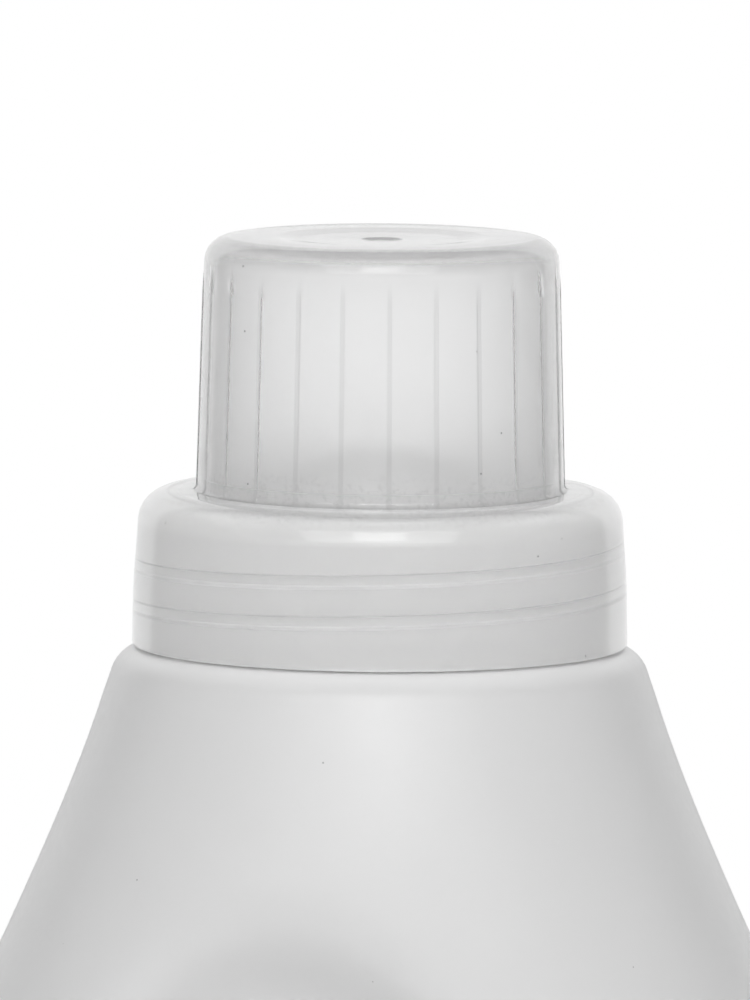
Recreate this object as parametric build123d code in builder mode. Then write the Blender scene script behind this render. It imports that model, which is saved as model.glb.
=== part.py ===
from build123d import *
import math
import os

# Softener bottle with a drain-back pouring insert and a screw-on dosing cap.
# Millimetres. The origin is on the floor under the middle of the base, Z up, X across the
# wide face of the bottle, the front face towards -Y.

# Body of the bottle, outside
body_width = 120.0
body_depth = 77.0
base_width = 112.0
base_depth = 71.0
belly_height = 108.5  # height at which the body is widest
body_squareness = 2.45  # exponent of the oval at the belly, where 2 is a true ellipse
body_wall = 1.0

# Base, with an oval push-up that leaves a flat rim to rest on
base_round = 7.0
base_wall = 1.7
rest_rim_width = 3.5
push_up_height = 4.0
push_up_run = 5.0  # how far the sloping flank of the push-up comes in

# Flared shoulder
shoulder_height = 198.5  # flat ring under the cap
shoulder_cone_depth = 5.2  # round part of the shoulder, before it turns into the oval
cone_overhang = 3.1  # how far the foot of the shoulder's cone stands out past the collar
flare_angle = 17.5  # degrees from upright where the shoulder starts to flare
shoulder_round = 4.0

# Pinch grip pressed into the front and the back
grip_offset = -7.0  # sideways, from the middle
grip_top_drop = 25.0  # from the shoulder ring down to the top of the recess
grip_half_width = 28.0
grip_half_height = 37.0
grip_depth = 5.0
grip_lean = 8.0  # degrees that its top leans to the left, seen from the front
grip_floor = 0.45  # part of the recess's reach that is its flat floor

# Screw neck
neck_radius = 25.1
neck_wall = 1.8
neck_height = 14.4  # from the shoulder ring to the lip
lip_edge = 0.4
thread_pitch = 4.55
thread_height = 1.0
thread_root = 2.6
thread_crest = 1.2
thread_sunk = 0.4  # root of the bead inside the neck wall
thread_start_height = 2.06  # middle of the bead's start above the shoulder ring
thread_end_drop = 4.0  # middle of the bead's end below the lip
thread_start_angle = 172.0

# Pouring insert
insert_clearance = 0.1
insert_wall = 1.2
flange_width = 1.4  # how far the flange lies over the lip
flange_thickness = 1.2
gutter_depth = 12.0  # from the lip to the gutter floor
spout_foot_radius = 11.0
spout_mouth_radius = 9.6
spout_rise = 9.4  # highest point of the mouth above the lip
spout_wall = 1.2
mouth_slope = 28.0  # degrees
drain_slot_width = 6.0

# Collar of the dosing cap
collar_gap = 0.5  # from the rim of the collar down to the shoulder ring
collar_wall = 1.65  # at its rim
collar_belly_draft = 0.1  # how far the collar has come in at its belly
collar_belly_height = 6.5
collar_belly_round = 60.0
collar_top_draft = 0.85  # how far it would have come in at its top
collar_round = 3.6
collar_inner_round = 2.4
collar_top_wall = 1.5
thread_clearance = 0.3  # between the crest of the neck's thread and the collar's wall
seal_height = 0.7
seal_width = 1.0

# Cup of the dosing cap
cup_height = 28.7
cup_draft = 0.8  # how far the cup comes in from its foot to its top
cup_round = 2.8
cup_foot_round = 0.6
cup_wall = 1.2
cup_top_wall = 1.5
skirt_wall = 1.0
skirt_drop = 6.0
skirt_gap = 1.4  # between the skirt and the bore of the insert
dish_radius = 12.0
dish_run = 3.0
dish_depth = 0.3
dish_round = 8.0
gate_radius = 2.4
gate_depth = 0.5
rib_count = 24
rib_angle = -87.4  # of the rib beside the middle of the front
rib_width = 0.45
rib_height = 0.3
rib_sunk = 0.3
rib_top_drop = 3.4  # from the top of the cup down to where the ribs start
rib_fade = 2.2  # over which they come out of the wall

# Fineness of the body's outline
outline_points = 48
section_step = 8.0
round_steps = 5  # sections in each rounded edge

cone_foot_height = shoulder_height - shoulder_cone_depth
grip_height = shoulder_height - grip_top_drop - grip_half_height
neck_bore_radius = neck_radius - neck_wall
collar_bore_radius = neck_radius + thread_height + thread_clearance
collar_rim_radius = collar_bore_radius + collar_wall
collar_belly_radius = collar_rim_radius - collar_belly_draft
collar_top_radius = collar_rim_radius - collar_top_draft
cone_foot_radius = collar_rim_radius + cone_overhang
flare_length = cone_foot_height - belly_height
thread_turns = (neck_height - thread_start_height - thread_end_drop) / thread_pitch
lip_height = shoulder_height + neck_height
flange_top = lip_height + flange_thickness
insert_bore_radius = neck_bore_radius - insert_clearance - insert_wall
flange_radius = neck_bore_radius + flange_width
gutter_floor = lip_height - gutter_depth
cap_rim = shoulder_height + collar_gap
collar_ceiling = flange_top + seal_height
collar_top = collar_ceiling + collar_top_wall
seal_radius = (insert_bore_radius + flange_radius) / 2
cap_top = collar_top + cup_height
cup_inner_radius = insert_bore_radius - skirt_gap - skirt_wall
cup_foot_radius = cup_inner_radius + cup_wall
cup_top_radius = cup_foot_radius - cup_draft


def ease(start, end, slope, length, distance):
    """Cubic from start, which it leaves at a slope, to end, which it reaches flat."""
    share = min(max(distance / length, 0), 1)
    keep = 2 * share**3 - 3 * share**2 + 1
    lead = share**3 - 2 * share**2 + share
    return keep * start + lead * length * slope + (1 - keep) * end


def half_size(height, belly, base):
    """Half the width or depth of the body at a height."""
    slope = math.tan(math.radians(flare_angle))
    below_cone = cone_foot_height - height
    if below_cone < 0:
        return cone_foot_radius + below_cone * slope
    if height > belly_height:
        return ease(cone_foot_radius, belly / 2, slope, flare_length, below_cone)
    return ease(belly / 2, base / 2, 0, belly_height, belly_height - height)


def grip_share(x, height):
    """How much of the grip's depth there is at a place: 1 on its floor, 0 outside it."""
    lean = math.radians(grip_lean)
    across, up = x - grip_offset, height - grip_height
    beside = across * math.cos(lean) + up * math.sin(lean)
    along = up * math.cos(lean) - across * math.sin(lean)
    reach = math.hypot(beside / grip_half_width, along / grip_half_height)
    edge = min(max((1 - reach) / (1 - grip_floor), 0), 1)
    return edge**2 * (3 - 2 * edge)


def body_outline(height, inset):
    """Points of the oval at a height, with the grip pressed into both faces."""
    half_width = half_size(height, body_width, base_width) - inset
    half_depth = half_size(height, body_depth, base_depth) - inset
    power = ease(2, body_squareness, 0, flare_length, cone_foot_height - height)
    points = []
    for step in range(outline_points):
        angle = 2 * math.pi * (step + 0.5) / outline_points
        across, out = math.cos(angle), math.sin(angle)
        radius = (abs(across / half_width) ** power + abs(out / half_depth) ** power) ** (-1 / power)
        x, y = radius * across, radius * out
        pressed = grip_depth * grip_share(x, height)
        points.append((x, y - math.copysign(pressed, y)))
    return points


def body_sections(bottom, top, inset):
    """Cross sections of the rounded bottom, the wall and the rounded shoulder: the height of
    each, and how far its outline is brought in."""
    base_corner = base_round - inset
    top_corner = shoulder_round - inset
    flare = math.radians(flare_angle)
    flat_radius = half_size(top, 0, 0) - inset - top_corner * math.tan((math.pi / 2 - flare) / 2)
    lower = bottom + base_corner
    upper = top - top_corner * (1 - math.sin(flare))
    count = math.ceil((upper - lower) / section_step)
    base, wall, shoulder = [], [], []
    for step in range(round_steps + 1):
        turn = math.pi / 2 * step / round_steps
        rise, run = base_corner * (1 - math.cos(turn)), base_corner * (1 - math.sin(turn))
        base.append((bottom + rise, inset + run))
    for step in range(count + 1):
        wall.append((lower + (upper - lower) * step / count, inset))
    for step in range(round_steps + 1):
        turn = flare + (math.pi / 2 - flare) * step / round_steps
        height = top - top_corner * (1 - math.sin(turn))
        radius = flat_radius + top_corner * math.cos(turn)
        shoulder.append((height, half_size(height, 0, 0) - radius))
    return base, wall, shoulder


def body_solid(bottom, top, inset):
    """The body inside its wall's inset, from its bottom to its top, with rounded edges."""
    base, wall, shoulder = body_sections(bottom, top, inset)
    with BuildPart() as body:
        for sections in (base, wall, shoulder):
            for height, brought_in in sections:
                with BuildSketch(Plane.XY.offset(height)):
                    with BuildLine():
                        Spline(*body_outline(height, brought_in), periodic=True)
                    make_face()
            loft(ruled=sections is not wall)
    return body.part


def push_up_solid(wall):
    """The push-up in the base, grown by a wall on all sides but the floor."""
    rim = base_round + rest_rim_width
    with BuildPart() as push_up:
        for height, inset in ((0, rim - wall), (push_up_height + wall, rim + push_up_run - wall)):
            with BuildSketch(Plane.XY.offset(height)):
                with BuildLine():
                    Spline(*body_outline(0, inset), periodic=True)
                make_face()
        loft()
    return push_up.part


def cavity_solid():
    """The space inside the body."""
    with BuildPart() as cavity:
        add(body_solid(base_wall, shoulder_height - body_wall, body_wall))
        add(push_up_solid(base_wall), mode=Mode.SUBTRACT)
    return cavity.part


def thread_solid():
    """The external thread: one bead of a trapezoid section wound round the neck."""
    flank = (thread_root - thread_crest) / 2 / thread_height
    sunk_half = thread_root / 2 + thread_sunk * flank
    with BuildPart() as thread:
        with BuildLine() as path:
            Helix(thread_pitch, thread_pitch * thread_turns, neck_radius - thread_sunk)
        with BuildSketch(Plane(path.line @ 0, x_dir=(1, 0, 0), z_dir=path.line % 0)):
            with BuildLine():
                Polyline(
                    (0, -sunk_half),
                    (thread_sunk + thread_height, -thread_crest / 2),
                    (thread_sunk + thread_height, thread_crest / 2),
                    (0, sunk_half),
                    close=True,
                )
            make_face()
        sweep(path=path.line, is_frenet=True)
    turned = thread.part.rotate(Axis.Z, thread_start_angle)
    return turned.translate((0, 0, shoulder_height + thread_start_height))


def neck_solid():
    """The threaded neck, solid, its foot inside the wall of the shoulder."""
    foot = shoulder_height - body_wall / 2
    with BuildPart() as neck:
        with BuildSketch(Plane.XZ):
            with BuildLine():
                Polyline(
                    (0, foot),
                    (neck_radius, foot),
                    (neck_radius, lip_height - lip_edge),
                    (neck_radius - lip_edge, lip_height),
                    (0, lip_height),
                    close=True,
                )
            make_face()
        revolve(axis=Axis.Z)
        add(thread_solid())
    return neck.part


def rib_solid():
    """One rib of the cup: it follows the draft of the wall and fades out at its top."""
    lean = (cup_foot_radius - cup_top_radius) / cup_height
    top = cap_top - rib_top_drop
    full = top - rib_fade
    foot_wall = cup_foot_radius
    full_wall = cup_foot_radius - (full - collar_top) * lean
    top_wall = cup_foot_radius - (top - collar_top) * lean
    half_angle = math.degrees(rib_width / cup_foot_radius) / 2
    with BuildPart() as rib:
        with BuildSketch(Plane.XZ):
            with BuildLine():
                Polyline(
                    (foot_wall - rib_sunk, collar_top - rib_sunk),
                    (foot_wall + rib_height, collar_top - rib_sunk),
                    (full_wall + rib_height, full),
                    (top_wall, top),
                    (top_wall - rib_sunk, top),
                    close=True,
                )
            make_face()
        revolve(axis=Axis.Z, revolution_arc=2 * half_angle)
    return rib.part.rotate(Axis.Z, rib_angle - half_angle)


with BuildPart() as bottle:
    add(body_solid(0, shoulder_height, 0))
    add(push_up_solid(0), mode=Mode.SUBTRACT)
    add(cavity_solid(), mode=Mode.SUBTRACT)
    add(neck_solid())
    with BuildSketch(Plane.XY.offset(lip_height)):
        Circle(neck_bore_radius)
    extrude(amount=-neck_height - 2 * body_wall, mode=Mode.SUBTRACT)
bottle.part.label = "bottle"

# The insert hangs from its flange on the lip. Its gutter catches what runs back out of the
# cup, and the slot in the back of the spout lets it down into the bottle.
with BuildPart() as pour_spout:
    plug_radius = neck_bore_radius - insert_clearance
    mouth_height = lip_height + spout_rise
    with BuildSketch(Plane.XZ):
        with BuildLine():
            Polyline(
                (0, gutter_floor - insert_wall),
                (plug_radius, gutter_floor - insert_wall),
                (plug_radius, lip_height),
                (flange_radius, lip_height),
                (flange_radius, flange_top),
                (insert_bore_radius, flange_top),
                (insert_bore_radius, gutter_floor),
                (spout_foot_radius, gutter_floor),
                (spout_mouth_radius, mouth_height),
                (0, mouth_height),
                close=True,
            )
        make_face()
    revolve(axis=Axis.Z)
    with BuildSketch(Plane.XZ):
        with BuildLine():
            Polyline(
                (0, gutter_floor - insert_wall),
                (spout_foot_radius - spout_wall, gutter_floor - insert_wall),
                (spout_mouth_radius - spout_wall, mouth_height),
                (0, mouth_height),
                close=True,
            )
        make_face()
    revolve(axis=Axis.Z, mode=Mode.SUBTRACT)
    with BuildSketch(Plane.YZ):
        drop = 2 * spout_foot_radius * math.tan(math.radians(mouth_slope))
        with BuildLine():
            Polyline(
                (-spout_mouth_radius, mouth_height),
                (2 * spout_foot_radius - spout_mouth_radius, mouth_height - drop),
                (2 * spout_foot_radius - spout_mouth_radius, mouth_height),
                close=True,
            )
        make_face()
    extrude(amount=spout_foot_radius, both=True, mode=Mode.SUBTRACT)
    with BuildSketch(Plane.XY.offset(gutter_floor)):
        with Locations((0, spout_foot_radius)):
            Rectangle(drain_slot_width, 2 * spout_foot_radius - spout_wall)
    extrude(amount=gutter_depth + spout_rise, mode=Mode.SUBTRACT)
pour_spout.part.label = "pour_spout"

with BuildPart() as dosing_cap:
    gate_floor = cap_top - dish_depth - gate_depth
    with BuildSketch(Plane.XZ):
        with BuildLine():
            FilletPolyline(
                (collar_bore_radius, cap_rim),
                (collar_rim_radius, cap_rim),
                (collar_belly_radius, cap_rim + collar_belly_height),
                (collar_top_radius, collar_top),
                (cup_foot_radius, collar_top),
                (cup_top_radius, cap_top),
                (dish_radius, cap_top),
                (dish_radius - dish_run, cap_top - dish_depth),
                (gate_radius, cap_top - dish_depth),
                (gate_radius, gate_floor),
                (0, gate_floor),
                (0, cap_top - cup_top_wall),
                (cup_top_radius - cup_wall, cap_top - cup_top_wall),
                (cup_inner_radius, collar_top),
                (cup_inner_radius, collar_ceiling - skirt_drop),
                (cup_inner_radius + skirt_wall, collar_ceiling - skirt_drop),
                (cup_inner_radius + skirt_wall, collar_ceiling),
                (seal_radius - seal_width / 2, collar_ceiling),
                (seal_radius - seal_width / 2, flange_top),
                (seal_radius + seal_width / 2, flange_top),
                (seal_radius + seal_width / 2, collar_ceiling),
                (collar_bore_radius, collar_ceiling),
                radius=[
                    0,
                    0,
                    collar_belly_round,
                    collar_round,
                    cup_foot_round,
                    cup_round,
                    dish_round,
                    dish_round,
                    0,
                    0,
                    0,
                    0,
                    cup_round - cup_wall,
                    0,
                    0,
                    0,
                    0,
                    0,
                    0,
                    0,
                    0,
                    collar_inner_round,
                ],
                close=True,
            )
        make_face()
    revolve(axis=Axis.Z)
    with PolarLocations(0, rib_count):
        add(rib_solid())
dosing_cap.part.label = "dosing_cap"

os.makedirs("parts", exist_ok=True)
for piece in (bottle, pour_spout, dosing_cap):
    export_step(piece.part, f"parts/{piece.part.label}.step")
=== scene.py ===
import math

import bpy
from mathutils import Matrix, Vector


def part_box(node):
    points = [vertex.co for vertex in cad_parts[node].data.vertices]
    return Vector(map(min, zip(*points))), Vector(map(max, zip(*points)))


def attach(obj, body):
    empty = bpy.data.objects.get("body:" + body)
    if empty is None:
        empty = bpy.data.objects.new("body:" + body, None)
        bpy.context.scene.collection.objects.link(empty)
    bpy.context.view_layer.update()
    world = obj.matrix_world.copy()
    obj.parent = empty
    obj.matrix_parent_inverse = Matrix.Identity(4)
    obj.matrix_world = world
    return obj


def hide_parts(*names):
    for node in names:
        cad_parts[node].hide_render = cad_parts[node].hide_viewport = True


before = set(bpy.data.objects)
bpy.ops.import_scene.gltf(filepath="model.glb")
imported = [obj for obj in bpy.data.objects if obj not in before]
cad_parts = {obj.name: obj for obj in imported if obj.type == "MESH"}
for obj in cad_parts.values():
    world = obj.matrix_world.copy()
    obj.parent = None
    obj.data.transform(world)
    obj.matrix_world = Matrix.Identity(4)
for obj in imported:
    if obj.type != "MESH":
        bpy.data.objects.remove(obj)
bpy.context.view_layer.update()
bpy.ops.object.select_all(action="DESELECT")

MM = 0.001

# Dosing cap, in millimetres above its own rim or out from its axis
collar_height = 17.3
collar_rim_radius = 28.05
collar_belly_radius = 27.95
collar_belly_height = 6.5
collar_belly_round = 60.0
collar_top_radius = 27.2
collar_round = 3.6
collar_bore_radius = 26.4
collar_ceiling = 15.8
collar_inner_round = 2.4
moulded_edge = 0.25
rim_reach = 0.3  # the rim comes down to a hairline above the shoulder
seal_radius = 23.35
seal_width = 1.0
seal_height = 0.7
cup_height = 28.7
cup_foot_radius = 20.8
cup_top_radius = 20.0
cup_round = 2.8
cup_foot_round = 0.6
cup_wall = 1.2
cup_top_wall = 1.5
skirt_wall = 1.0
skirt_drop = 6.0
dish_radius = 12.0
dish_run = 3.0
dish_depth = 0.3
dish_round = 8.0
gate_radius = 2.4
gate_flank = 0.2
gate_depth = 0.2
rib_count = 24
rib_angle = -87.4  # degrees, of the rib beside the middle of the front
rib_width = 0.42
rib_flank = 0.12
rib_height = 0.11
rib_top_drop = 3.4
rib_fade = 2.4

# Screw thread of the neck and of the cap. The middle of each bead, its first and its last height
# are above the cap's rim, the middle at the front.
thread_pitch = 4.55
thread_depth = 1.0
thread_run_in = thread_pitch / 14
front = -90.0  # degrees round the axis
neck_thread = {"middle": 2.8, "first": 1.56, "last": 9.9, "width": 2.6, "crest": 1.2}
cap_thread = {"middle": 5.1, "first": 3.6, "last": 11.6, "width": 1.7, "crest": 0.9}

# Bottle, in millimetres above the floor or out from its axis
body_width = 119.9
body_depth = 76.9
base_width = 111.9
base_depth = 70.9
belly_height = 108.5
body_squareness = 2.45
body_wall = 1.0
base_round = 7.0
base_wall = 1.7
rest_rim_width = 3.5
push_up_height = 4.0
push_up_run = 5.0
shoulder_height = 198.5
shoulder_cone_depth = 5.2
cone_foot_radius = 31.15
flare_angle = 17.5  # degrees from upright
shoulder_round = 4.0
neck_radius = 25.1
neck_bore_radius = 23.3
neck_height = 14.4
lip_edge = 0.4
neck_root_round = 0.6
neck_land = 1.5  # flat ring of the shoulder round the neck's foot
grip_offset = -9.5
grip_height = 136.5
grip_half_width = 28.0
grip_half_height = 37.0
grip_depth = 8.0
grip_lean = 8.0  # degrees that its top leans to the left
grip_floor = 0.6  # share of its reach that is its flat floor
parting_width = 0.5
parting_height = 0.07
parting_start = 0.5
pinch_off_width = 1.6
pinch_off_height = 0.5

# Fineness of the walls, in millimetres up them or in degrees round the axis
cup_step = 1.2
outer_step = 2.5
inner_step = 6.0
corner_steps = 8
turn_step = 1.25
seam_reach = 2.2  # to each side of the parting line, where the wall is finer
seam_turns = (0.12, 0.24, 0.5, 0.9, 1.4, 2.0)
crease_angle = 38.0  # a sharper edge stays hard
same_place = 1e-6

# Finishes: sizes and places of what shows in them, in millimetres
clear_start = 1.0  # below the cup's foot, where the thick collar begins to clear
clear_end = 7.0  # above the cup's foot
milky_ring = 2.0  # height of the shoulder's thick top
flow_haze = 9.0
polish_grain = 0.8
scuff_size = 0.5
scuff_middle = 0.8  # above the cup's foot
scuff_full = 0.8  # to each side of that height
scuff_reach = 3.6
cap_dust = {"spacing": 4.0, "radius": 0.16}
bottle_dust = {"spacing": 7.0, "radius": 0.13}
wall_clouds = 22.0
orange_peel = 1.1
insert_grain = 0.7

# Set: how bright the room is as light, and how bright it looks in a gloss
room_light = 0.6
room_in_gloss = 0.15
floor_radius = 0.7  # metres

# Camera
image_height = 1000  # pixels
pixel_size = 0.1132  # millimetres on the object's axis
camera_distance = 1600.0
camera_elevation = 6.0  # degrees
camera_roll = 0.33  # degrees
aim_across = -0.62
aim_height = 215.05
sensor = 36.0

cap_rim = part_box("dosing_cap")[0][2] / MM
cone_foot_height = shoulder_height - shoulder_cone_depth
flare_length = cone_foot_height - belly_height
lip_height = shoulder_height + neck_height


# Outlines, in millimetres

def arc_corner(before, corner, after, radius, steps):
    """Points of the arc that rounds one corner of an outline."""
    if radius == 0:
        return [corner]
    here = Vector(corner)
    back = (Vector(before) - here).normalized()
    onward = (Vector(after) - here).normalized()
    half = back.angle(onward) / 2
    middle = here + (back + onward).normalized() * radius / math.sin(half)
    start = here + back * radius / math.tan(half) - middle
    end = here + onward * radius / math.tan(half) - middle
    turn = math.atan2(start.x * end.y - start.y * end.x, start.dot(end))
    points = []
    for step in range(steps + 1):
        sine, cosine = math.sin(turn * step / steps), math.cos(turn * step / steps)
        points.append((middle.x + start.x * cosine - start.y * sine,
                       middle.y + start.x * sine + start.y * cosine))
    return points


def rounded(corners, steps=6):
    """An outline of (radius, height) points from corners of (radius, height, rounding)."""
    outline = [corners[0][:2]]
    for before, corner, after in zip(corners, corners[1:], corners[2:]):
        outline += arc_corner(before[:2], corner[:2], after[:2], corner[2], steps)
    outline.append(corners[-1][:2])
    return outline


def divided(outline, above, step):
    """The outline with extra points on its runs above a height."""
    fine = [outline[0]]
    for (radius, height), (next_radius, next_height) in zip(outline, outline[1:]):
        if min(height, next_height) >= above:
            count = math.ceil(abs(next_height - height) / step)
            for part in range(1, count):
                share = part / count
                fine.append((radius + (next_radius - radius) * share,
                             height + (next_height - height) * share))
        fine.append((next_radius, next_height))
    return fine


def smooth(share):
    """A share from 0 to 1 that leaves both ends gently."""
    share = min(max(share, 0), 1)
    return share**2 * (3 - 2 * share)


def ease(start, end, slope, length, distance):
    """Cubic from start, which it leaves at a slope, to end, which it reaches flat."""
    share = min(max(distance / length, 0), 1)
    keep = 2 * share**3 - 3 * share**2 + 1
    lead = share**3 - 2 * share**2 + share
    return keep * start + lead * length * slope + (1 - keep) * end


def bead(thread, offset, along):
    """Height of a thread's bead at an offset from its middle, at a height along the thread."""
    begun = smooth((along - thread["first"]) / thread_run_in)
    ending = smooth((thread["last"] - along) / thread_run_in)
    flank = (thread["width"] - thread["crest"]) / 2
    return thread_depth * begun * ending * smooth((thread["width"] / 2 - abs(offset)) / flank)


def threaded_rings(radius, low, high, thread, sign):
    """Rings of a threaded wall between two heights. They climb with the thread, so that a ring
    lies on each edge of the bead, and stay within the wall."""
    half, flank = thread["width"] / 2, (thread["width"] - thread["crest"]) / 2
    edge = [half - flank * share for share in (0, 0.2, 0.4, 0.6, 0.8, 1)]
    offsets = [-offset for offset in edge] + [0] + edge[::-1]
    offsets += [half + (thread_pitch - 2 * half) * share for share in (0.33, 0.67)]

    def ring_at(offset, turn):
        def ring(angle):
            climb = (math.degrees(angle) - front) / 360 * thread_pitch
            along = thread["middle"] + climb + turn * thread_pitch
            height = min(max(along + offset, low), high)
            out = radius + sign * bead(thread, height - along, along)
            return out * math.cos(angle), out * math.sin(angle), cap_rim + height
        return ring

    turns = range(-5, 5)
    return [ring_at(offset, turn) for turn in turns for offset in offsets]


def cup_rib(angle, height):
    """How far a rib stands out of the cup's wall at a place."""
    period = 360 / rib_count
    offset = (math.degrees(angle) - rib_angle + period / 2) % period - period / 2
    beside = abs(math.radians(offset)) * cup_foot_radius
    below_top = collar_height + cup_height - rib_top_drop - height
    flank = smooth((rib_width / 2 + rib_flank - beside) / rib_flank)
    return rib_height * flank * smooth(below_top / rib_fade)


def half_size(height, belly, base):
    """Half the width or depth of the body at a height."""
    slope = math.tan(math.radians(flare_angle))
    below_cone = cone_foot_height - height
    if below_cone < 0:
        return cone_foot_radius + below_cone * slope
    if height > belly_height:
        return ease(cone_foot_radius, belly / 2, slope, flare_length, below_cone)
    return ease(belly / 2, base / 2, 0, belly_height, belly_height - height)


def grip_share(x, height):
    """How much of the pinch grip's depth there is at a place: 1 on its floor, 0 outside it."""
    lean = math.radians(grip_lean)
    across, up = x - grip_offset, height - grip_height
    beside = across * math.cos(lean) + up * math.sin(lean)
    along = up * math.cos(lean) - across * math.sin(lean)
    reach = math.hypot(beside / grip_half_width, along / grip_half_height)
    return smooth((1 - reach) / (1 - grip_floor))


def parting_line(x, y, height):
    """How far the line that the two halves of the mould leave stands out of the wall."""
    if x == 0 or height < parting_start:
        return 0
    return parting_height * smooth(1 - 2 * abs(y) / parting_width)


def body_point(angle, height, inset):
    """Place on the body's oval at a height, with the grip pressed into both faces."""
    half_width = half_size(height, body_width, base_width) - inset
    half_depth = half_size(height, body_depth, base_depth) - inset
    power = ease(2, body_squareness, 0, flare_length, cone_foot_height - height)
    across, out = math.cos(angle), math.sin(angle)
    radius = (abs(across / half_width) ** power + abs(out / half_depth) ** power) ** (-1 / power)
    x, y = radius * across, radius * out
    if inset == 0:
        x += math.copysign(parting_line(x, y, height), x)
    return x, y - math.copysign(grip_depth * grip_share(x, height), y)


# Pieces

def walls(name, rings, angles, outer_rings=None):
    """A piece of closed walls: a grid with a row for each ring of its section, rolled up round
    the axis, welded along the seam, and closed where the first and the last ring shrink to a
    point. The faces after its outer rings take the second material."""
    columns, rows = len(angles), len(rings) - 1
    angles = angles + [angles[0] + 2 * math.pi]
    bpy.ops.mesh.primitive_grid_add(
        x_subdivisions=columns, y_subdivisions=rows, size=2, location=(0, 0, 0))
    piece = bpy.context.object
    piece.name = piece.data.name = name
    for face in piece.data.polygons:
        if outer_rings and (face.center.y + 1) / 2 * rows > outer_rings:
            face.material_index = 1
    for vertex in piece.data.vertices:
        column = round((vertex.co.x + 1) / 2 * columns)
        row = round((vertex.co.y + 1) / 2 * rows)
        vertex.co = Vector(rings[row](angles[column])) * MM
    bpy.ops.object.mode_set(mode="EDIT")
    bpy.ops.mesh.select_all(action="SELECT")
    bpy.ops.mesh.remove_doubles(threshold=1e-7)
    bpy.ops.mesh.normals_make_consistent(inside=False)
    bpy.ops.object.mode_set(mode="OBJECT")
    bpy.ops.object.shade_smooth_by_angle(angle=math.radians(crease_angle))
    piece.select_set(False)
    return piece


def turned(radius, height, ribbed=False):
    """A round ring of a wall at a height, with the cup's ribs where it has them."""
    def ring(angle):
        out = radius + (cup_rib(angle, height - cap_rim) if ribbed else 0)
        return out * math.cos(angle), out * math.sin(angle), height
    return ring


def cap_outside():
    """Outline of the cap from the middle of its top, down the cup and the collar to its rim."""
    top = collar_height + cup_height
    return rounded([
        (0, top - dish_depth - gate_depth, 0),
        (gate_radius - gate_flank, top - dish_depth - gate_depth, moulded_edge),
        (gate_radius, top - dish_depth, moulded_edge / 2),
        (dish_radius - dish_run, top - dish_depth, dish_round),
        (dish_radius, top, dish_round),
        (cup_top_radius, top, cup_round),
        (cup_foot_radius, collar_height, cup_foot_round),
        (collar_top_radius, collar_height, collar_round),
        (collar_belly_radius, collar_belly_height, collar_belly_round),
        (collar_rim_radius, -rim_reach, moulded_edge),
        ((collar_rim_radius + collar_bore_radius) / 2, -rim_reach, 0),
    ])


def cap_inside():
    """Outline of the cap from its rim, up the bore, round the seal ring and the skirt that
    goes down into the neck, and up the inside of the cup to its middle."""
    cup_inner_radius = cup_foot_radius - cup_wall
    skirt_radius = cup_inner_radius + skirt_wall
    skirt_foot = collar_ceiling - skirt_drop
    seal_foot = collar_ceiling - seal_height
    return rounded([
        ((collar_rim_radius + collar_bore_radius) / 2, -rim_reach, 0),
        (collar_bore_radius, -rim_reach, moulded_edge),
        (collar_bore_radius, collar_ceiling, collar_inner_round),
        (seal_radius + seal_width / 2, collar_ceiling, moulded_edge),
        (seal_radius + seal_width / 2, seal_foot, moulded_edge),
        (seal_radius - seal_width / 2, seal_foot, moulded_edge),
        (seal_radius - seal_width / 2, collar_ceiling, moulded_edge),
        (skirt_radius, collar_ceiling, moulded_edge),
        (skirt_radius, skirt_foot, moulded_edge),
        (cup_inner_radius, skirt_foot, moulded_edge),
        (cup_inner_radius, collar_height, 0),
        (cup_top_radius - cup_wall, collar_height + cup_height - cup_top_wall, cup_round - cup_wall),
        (0, collar_height + cup_height - cup_top_wall, 0),
    ])


def cap_angles():
    """Angles round the cap, close together on each rib's flanks."""
    period = 360 / rib_count
    half = math.degrees(rib_width / 2 / cup_foot_radius)
    flank = math.degrees(rib_flank / cup_foot_radius)
    beside = [0, half, half + flank / 2, half + flank]
    plain = [period / 2 - (period / 2 - half - flank) * share for share in (0, 0.25, 0.5, 0.75)]
    offsets = beside + plain + [-offset for offset in beside[1:] + plain[1:]]
    return [math.radians(rib_angle + rib * period + offset)
            for rib in range(rib_count) for offset in sorted(offsets)]


def mark_ribs(cap):
    """Write down for the material, which paints shade along the ribs, how much of a rib stands at each
    point of the cup's outside.
    """
    marks = cap.data.attributes.new("rib", "FLOAT", "POINT")
    between = (cup_foot_radius - cup_wall + cup_top_radius) / 2
    for vertex, mark in zip(cap.data.vertices, marks.data):
        x, y, z = vertex.co / MM
        if z > cap_rim + collar_height and math.hypot(x, y) > between:
            mark.value = cup_rib(math.atan2(y, x), z - cap_rim) / rib_height


def dosing_cap():
    """The screw cap with the ribbed measuring cup on its top, one moulding."""
    rings = []
    for radius, height in divided(cap_outside(), collar_height, cup_step):
        ribbed = height > collar_height and radius > cup_top_radius - cup_round
        rings.append(turned(radius, cap_rim + height, ribbed))
    outer_rings = len(rings)
    bore_top = collar_ceiling - collar_inner_round
    for radius, height in cap_inside()[1:]:
        if abs(radius - collar_bore_radius) + abs(height - bore_top) < same_place:
            rings += threaded_rings(collar_bore_radius, moulded_edge, bore_top, cap_thread, -1)
        rings.append(turned(radius, cap_rim + height))
    cap = walls("moulded_cap", rings, cap_angles(), outer_rings)
    mark_ribs(cap)
    return cap


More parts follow.
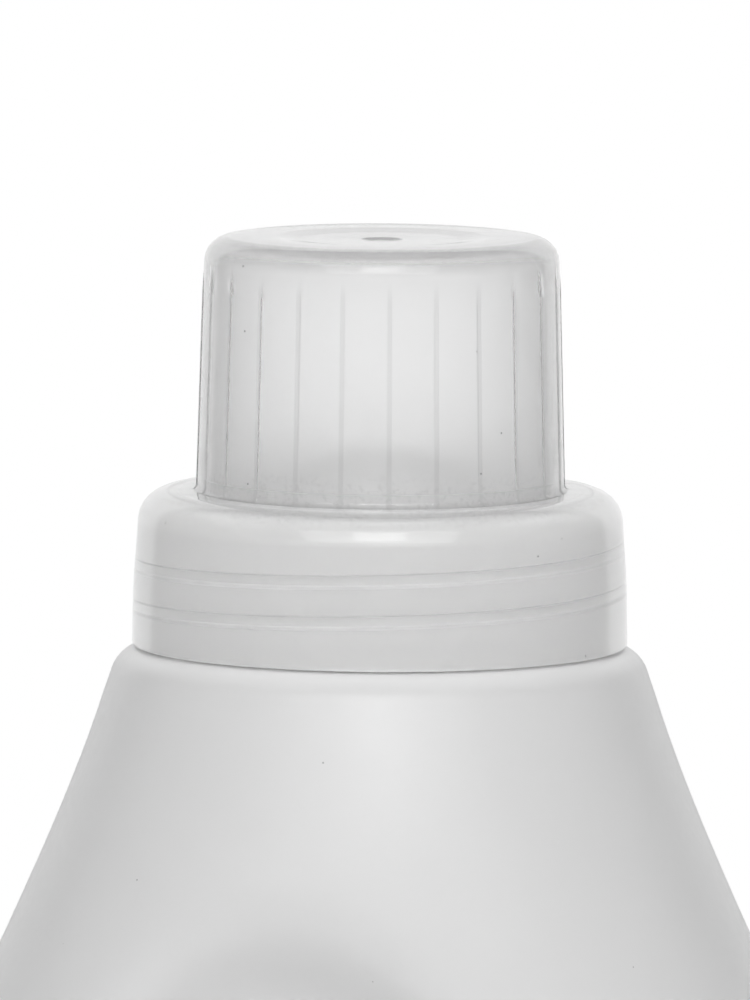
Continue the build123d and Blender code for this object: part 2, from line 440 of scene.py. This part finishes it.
def body_sections(bottom, top, inset, step):
    """Sections of the body from its bottom to its top: (height, how far it is brought in)."""
    base_corner = base_round - inset
    top_corner = shoulder_round - inset
    flare = math.radians(flare_angle)
    flat_radius = half_size(top, 0, 0) - inset - top_corner * math.tan((math.pi / 2 - flare) / 2)
    lower = bottom + base_corner
    upper = top - top_corner * (1 - math.sin(flare))
    count = math.ceil((upper - lower) / step)
    sections = []
    for part in range(corner_steps):
        turn = math.pi / 2 * part / corner_steps
        sections.append((bottom + base_corner * (1 - math.cos(turn)),
                         inset + base_corner * (1 - math.sin(turn))))
    for part in range(count):
        sections.append((lower + (upper - lower) * part / count, inset))
    for part in range(corner_steps + 1):
        turn = flare + (math.pi / 2 - flare) * part / corner_steps
        height = top - top_corner * (1 - math.sin(turn))
        sections.append((height, half_size(height, 0, 0) - flat_radius - top_corner * math.cos(turn)))
    return sections


def oval(height, inset, lift=0, share=1, seam=0):
    """A ring of the body's oval at a height. In the base it is lifted into the push-up, drawn in
    towards the axis by a share, and carries the seam where the mould pinched off."""
    def ring(angle):
        x, y = body_point(angle, height, inset)
        pinched = seam * smooth(1 - 2 * abs(share * y) / pinch_off_width)
        return share * x, share * y, height + lift + pinched
    return ring


def round_rings(corners):
    """Round rings of the outline through some corners."""
    return [turned(radius, height) for radius, height in rounded(corners)]


def bottle_outside():
    """Rings from the middle of the push-up, over the body and its flared shoulder, up the
    threaded neck to below its lip."""
    rim = base_round + rest_rim_width
    shares = (0, 0.03, 0.08, 0.16, 0.28, 0.42, 0.58, 0.74, 0.88, 0.97)
    rings = [oval(0, rim + push_up_run, push_up_height, share, -pinch_off_height) for share in shares]
    for part in range(corner_steps + 1):
        fall = part / corner_steps
        rings.append(oval(0, rim + push_up_run * (1 - fall), push_up_height * (1 - smooth(fall))))
    for height, inset in body_sections(0, shoulder_height, 0, outer_step):
        rings.append(oval(height, inset))
    rings += round_rings([
        (neck_radius + neck_land, shoulder_height, 0),
        (neck_radius, shoulder_height, neck_root_round),
        (neck_radius, shoulder_height + 1, 0),
    ])[:-1]
    return rings + threaded_rings(neck_radius, shoulder_height + neck_root_round - cap_rim,
                                  lip_height - lip_edge - cap_rim, neck_thread, 1)


def bottle_inside():
    """Rings over the lip, down the bore of the neck and the inside of the wall to the middle of
    the base."""
    top = shoulder_height - body_wall
    rings = round_rings([
        (neck_radius, lip_height - 1, 0),
        (neck_radius, lip_height, lip_edge),
        (neck_bore_radius, lip_height, lip_edge),
        (neck_bore_radius, top, neck_root_round),
        (neck_bore_radius + neck_land, top, 0),
    ])[1:]
    for height, inset in reversed(body_sections(base_wall, top, body_wall, inner_step)):
        rings.append(oval(height, inset))
    rim = base_round + rest_rim_width - base_wall
    for part in range(5):
        rise = part / 4
        rings.append(oval(0, rim + push_up_run * rise, base_wall + push_up_height * smooth(rise)))
    return rings + [oval(0, rim + push_up_run, base_wall + push_up_height, share)
                    for share in (0.8, 0.5, 0.2, 0)]


def bottle_angles():
    """Angles round the bottle, close together at the two parting lines."""
    turns = [part * turn_step for part in range(round(360 / turn_step))]
    turns = [turn for turn in turns if min(turn % 180, 180 - turn % 180) > seam_reach]
    turns += [side + sign * offset for side in (0, 180) for sign in (-1, 1) for offset in seam_turns]
    return [math.radians(turn) for turn in sorted(turn % 360 for turn in turns + [0, 180])]


def bottle():
    """The bottle, blown in one piece: push-up, body with its pinch grip, shoulder and neck."""
    return walls("blown_bottle", bottle_outside() + bottle_inside(), bottle_angles())


# Materials

def linear(colour):
    """Linear RGBA of an sRGB hex colour."""
    channels = [int(colour[place:place + 2], 16) / 255 for place in (1, 3, 5)]
    return [c / 12.92 if c <= 0.04045 else ((c + 0.055) / 1.055) ** 2.4 for c in channels] + [1]


def add_node(tree, kind, inputs=None, **settings):
    """Add a node with its settings, and fill its inputs with values or with other sockets."""
    made = tree.nodes.new(kind)
    for name, value in settings.items():
        setattr(made, name, value)
    for name, value in (inputs or {}).items():
        if isinstance(value, bpy.types.NodeSocket):
            tree.links.new(value, made.inputs[name])
        else:
            made.inputs[name].default_value = value
    return made


def plastic(name):
    """A new material with its nodes, its shader and the place on the piece."""
    material = bpy.data.materials.new(name)
    material.use_nodes = True
    tree = material.node_tree
    place = add_node(tree, "ShaderNodeTexCoord").outputs["Object"]
    return material, tree, tree.nodes["Principled BSDF"], place


def up_the_cap(tree, place, collar, cup):
    """A value that goes from one in the thick collar to another in the thin cup."""
    height = add_node(tree, "ShaderNodeSeparateXYZ", {"Vector": place}).outputs["Z"]
    return add_node(tree, "ShaderNodeMapRange", {
        "Value": height, "From Min": (cap_rim + collar_height - clear_start) * MM,
        "From Max": (cap_rim + collar_height + clear_end) * MM, "To Min": collar, "To Max": cup},
        interpolation_type="SMOOTHSTEP").outputs["Result"]


def specks(tree, place, spacing, radius):
    """A share that is 1 on fine specks of dust, scattered over a surface."""
    cells = add_node(tree, "ShaderNodeTexVoronoi", {"Vector": place, "Scale": 1 / (spacing * MM)})
    return add_node(tree, "ShaderNodeMapRange", {
        "Value": cells.outputs["Distance"], "From Min": 0.7 * radius / spacing,
        "From Max": radius / spacing, "To Min": 1.0, "To Max": 0.0}).outputs["Result"]


def foot_scuffs(tree, place):
    """A share for the fine scuffs round the foot of the cup, where fingers and the next pack rub."""
    height = add_node(tree, "ShaderNodeSeparateXYZ", {"Vector": place}).outputs["Z"]
    middle = (cap_rim + collar_height + scuff_middle) * MM
    away = add_node(tree, "ShaderNodeMath", {0: height, 1: middle}, operation="SUBTRACT")
    distance = add_node(tree, "ShaderNodeMath", {0: away.outputs["Value"]}, operation="ABSOLUTE")
    near = add_node(tree, "ShaderNodeMapRange", {
        "Value": distance.outputs["Value"], "From Min": scuff_full * MM, "From Max": scuff_reach * MM,
        "To Min": 0.5, "To Max": 0.0})
    marks = add_node(tree, "ShaderNodeTexNoise", {
        "Vector": place, "Scale": 1 / (scuff_size * MM), "Detail": 2.0})
    rubbed = add_node(tree, "ShaderNodeMapRange", {
        "Value": marks.outputs["Fac"], "From Min": 0.52, "From Max": 0.66})
    return add_node(tree, "ShaderNodeMath", {0: near.outputs["Result"], 1: rubbed.outputs["Result"]},
                    operation="MULTIPLY").outputs["Value"]


def moulded_polypropylene():
    """Natural polypropylene, moulded in a polished tool: a wet-looking, clear skin with painted shade
    along the ribs, fine scuffs round the foot of the cup and specks of dust."""
    material, tree, shader, place = plastic("moulded polypropylene")
    haze = add_node(tree, "ShaderNodeTexNoise", {
        "Vector": place, "Scale": 1 / (flow_haze * MM), "Detail": 5.0})
    tint = add_node(tree, "ShaderNodeMixRGB", {
        "Fac": haze.outputs["Fac"], "Color1": linear("#FEFEFE"), "Color2": linear("#FFFFFF")})
    # Painted shade: the base colour is darker on each rib, standing in for the shade on its flanks.
    rib_shade = add_node(tree, "ShaderNodeMixRGB", {
        "Fac": add_node(tree, "ShaderNodeAttribute", attribute_name="rib").outputs["Fac"],
        "Color1": tint.outputs["Color"], "Color2": linear("#ECECEC")})
    scuffed = add_node(tree, "ShaderNodeMixRGB", {
        "Fac": foot_scuffs(tree, place), "Color1": rib_shade.outputs["Color"], "Color2": linear("#C8C8C8")})
    dusty = add_node(tree, "ShaderNodeMixRGB", {
        "Fac": specks(tree, place, **cap_dust), "Color1": scuffed.outputs["Color"],
        "Color2": linear("#808080")})
    grain = add_node(tree, "ShaderNodeTexNoise", {
        "Vector": place, "Scale": 1 / (polish_grain * MM), "Detail": 3.0})
    gloss = add_node(tree, "ShaderNodeMapRange", {
        "Value": grain.outputs["Fac"], "From Min": 0.3, "From Max": 0.7, "To Min": 0.1, "To Max": 0.14})
    skin = add_node(tree, "ShaderNodeBump", {
        "Height": grain.outputs["Fac"], "Strength": 0.02, "Distance": 0.02 * MM})
    tree.links.new(dusty.outputs["Color"], shader.inputs["Base Color"])
    tree.links.new(gloss.outputs["Result"], shader.inputs["Roughness"])
    tree.links.new(up_the_cap(tree, place, 0.88, 0.99), shader.inputs["Transmission Weight"])
    tree.links.new(skin.outputs["Normal"], shader.inputs["Normal"])
    shader.inputs["IOR"].default_value = 1.49
    return material


def cloudy_polypropylene():
    """The inside of the same moulding, shaped by a blasted core: frosted and milky, more so in
    the thick collar than in the thin cup."""
    material, tree, shader, place = plastic("cloudy polypropylene")
    haze = add_node(tree, "ShaderNodeTexNoise", {
        "Vector": place, "Scale": 1 / (flow_haze * MM), "Detail": 5.0})
    tint = add_node(tree, "ShaderNodeMixRGB", {
        "Fac": haze.outputs["Fac"], "Color1": linear("#FDFDFD"), "Color2": linear("#FFFFFF")})
    tree.links.new(tint.outputs["Color"], shader.inputs["Base Color"])
    tree.links.new(up_the_cap(tree, place, 0.2, 0.56), shader.inputs["Roughness"])
    tree.links.new(up_the_cap(tree, place, 0.33, 0.99), shader.inputs["Transmission Weight"])
    shader.inputs["IOR"].default_value = 1.49
    return material


def blown_hdpe():
    """Natural HDPE, blown: milky and satin, with a fine orange peel, faint clouds where the wall
    is thicker or thinner, and specks of dust. The thick ring under the cap lets less through."""
    material, tree, shader, place = plastic("blown HDPE")
    clouds = add_node(tree, "ShaderNodeTexNoise", {
        "Vector": place, "Scale": 1 / (wall_clouds * MM), "Detail": 4.0})
    tint = add_node(tree, "ShaderNodeMixRGB", {
        "Fac": clouds.outputs["Fac"], "Color1": linear("#EEEEEE"), "Color2": linear("#F3F3F3")})
    dusty = add_node(tree, "ShaderNodeMixRGB", {
        "Fac": specks(tree, place, **bottle_dust), "Color1": tint.outputs["Color"],
        "Color2": linear("#B4B4B4")})
    peel = add_node(tree, "ShaderNodeTexNoise", {
        "Vector": place, "Scale": 1 / (orange_peel * MM), "Detail": 3.0})
    gloss = add_node(tree, "ShaderNodeMapRange", {
        "Value": peel.outputs["Fac"], "From Min": 0.3, "From Max": 0.7, "To Min": 0.32, "To Max": 0.42})
    skin = add_node(tree, "ShaderNodeBump", {
        "Height": peel.outputs["Fac"], "Strength": 0.12, "Distance": 0.05 * MM})
    height = add_node(tree, "ShaderNodeSeparateXYZ", {"Vector": place}).outputs["Z"]
    clear = add_node(tree, "ShaderNodeMapRange", {
        "Value": height, "From Min": (shoulder_height - milky_ring) * MM,
        "From Max": shoulder_height * MM, "To Min": 0.4, "To Max": 0.1})
    tree.links.new(dusty.outputs["Color"], shader.inputs["Base Color"])
    tree.links.new(gloss.outputs["Result"], shader.inputs["Roughness"])
    tree.links.new(clear.outputs["Result"], shader.inputs["Transmission Weight"])
    tree.links.new(skin.outputs["Normal"], shader.inputs["Normal"])
    shader.inputs["IOR"].default_value = 1.54
    return material


def moulded_polyethylene():
    """White polyethylene of the pouring insert, moulded: milky, with a soft gloss and a fine
    grain."""
    material, tree, shader, place = plastic("moulded polyethylene")
    grain = add_node(tree, "ShaderNodeTexNoise", {
        "Vector": place, "Scale": 1 / (insert_grain * MM), "Detail": 3.0})
    tint = add_node(tree, "ShaderNodeMixRGB", {
        "Fac": grain.outputs["Fac"], "Color1": linear("#FEFEFE"), "Color2": linear("#FFFFFF")})
    skin = add_node(tree, "ShaderNodeBump", {
        "Height": grain.outputs["Fac"], "Strength": 0.1, "Distance": 0.04 * MM})
    tree.links.new(tint.outputs["Color"], shader.inputs["Base Color"])
    tree.links.new(skin.outputs["Normal"], shader.inputs["Normal"])
    shader.inputs["Roughness"].default_value = 0.22
    shader.inputs["IOR"].default_value = 1.52
    shader.inputs["Transmission Weight"].default_value = 0.45
    return material


def painted_floor():
    """Plain pale studio floor."""
    material = bpy.data.materials.new("painted floor")
    material.use_nodes = True
    shader = material.node_tree.nodes["Principled BSDF"]
    shader.inputs["Base Color"].default_value = linear("#F1F1F1")
    shader.inputs["Roughness"].default_value = 0.7
    return material


# Set

def studio_world():
    """White backdrop behind the object; a greyer room to its sides and in front."""
    world = bpy.data.worlds.new("studio")
    bpy.context.scene.world = world
    world.use_nodes = True
    tree = world.node_tree
    tree.nodes.clear()
    heading = add_node(tree, "ShaderNodeSeparateXYZ", {
        "Vector": add_node(tree, "ShaderNodeTexCoord").outputs["Generated"]})
    backdrop = add_node(tree, "ShaderNodeMapRange", {
        "Value": heading.outputs["Y"], "From Min": 0.62, "From Max": 0.76},
        interpolation_type="SMOOTHSTEP").outputs["Result"]
    path = add_node(tree, "ShaderNodeLightPath")
    strength = room_light
    rays = {"Is Glossy Ray": room_in_gloss, "Is Transmission Ray": 1.0, "Is Camera Ray": 1.0}
    for ray, room in rays.items():
        around = add_node(tree, "ShaderNodeMix", {"Factor": backdrop, "A": room, "B": 1.0})
        strength = add_node(tree, "ShaderNodeMix", {
            "Factor": path.outputs[ray], "A": strength, "B": around.outputs["Result"]}).outputs["Result"]
    light = add_node(tree, "ShaderNodeBackground", {"Color": (1, 1, 1, 1), "Strength": strength})
    add_node(tree, "ShaderNodeOutputWorld", {"Surface": light.outputs["Background"]})


def soft_lamp(name, place, width, height, power):
    """A soft box turned to the neck of the bottle."""
    lamp = bpy.data.lights.new(name, "AREA")
    lamp.shape = "RECTANGLE"
    lamp.size = width
    lamp.size_y = height
    lamp.energy = power
    holder = bpy.data.objects.new(name, lamp)
    holder.location = place
    aim = Vector((0, 0, aim_height * MM)) - Vector(place)
    holder.rotation_euler = aim.to_track_quat("-Z", "Y").to_euler()
    bpy.context.collection.objects.link(holder)


def camera():
    """The camera, as far away and as high as the photograph's."""
    lens = bpy.data.cameras.new("camera")
    lens.sensor_width = sensor
    lens.lens = sensor * camera_distance / (image_height * pixel_size)
    lens.clip_end = 10
    holder = bpy.data.objects.new("camera", lens)
    tilt = math.radians(camera_elevation)
    holder.location = (aim_across * MM, -camera_distance * math.cos(tilt) * MM,
                       (aim_height + camera_distance * math.sin(tilt)) * MM)
    raised = Matrix.Rotation(math.pi / 2 - tilt, 3, "X")
    rolled = Matrix.Rotation(math.radians(camera_roll), 3, "Z")
    holder.rotation_euler = (raised @ rolled).to_euler()
    bpy.context.collection.objects.link(holder)
    bpy.context.scene.camera = holder
    bpy.context.scene.view_settings.view_transform = "Standard"


def studio():
    """Floor, room and lamps, in metres."""
    bpy.ops.mesh.primitive_circle_add(
        vertices=96, radius=floor_radius, fill_type="NGON", location=(0, 0, 0))
    floor = bpy.context.object
    floor.name = "floor"
    floor.data.materials.append(painted_floor())
    studio_world()
    soft_lamp("wide soft box", (0, -1.1, 0.9), width=1.8, height=0.9, power=8.5)
    soft_lamp("small soft box", (0, -1.05, 0.86), width=0.5, height=0.55, power=2.6)


cap = dosing_cap()
cap.data.materials.append(moulded_polypropylene())
cap.data.materials.append(cloudy_polypropylene())
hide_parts("dosing_cap")
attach(cap, "cap")

body = bottle()
body.data.materials.append(blown_hdpe())
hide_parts("bottle")
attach(body, "pack")

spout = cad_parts["pour_spout"]
spout.data.materials.clear()
spout.data.materials.append(moulded_polyethylene())

studio()
camera()
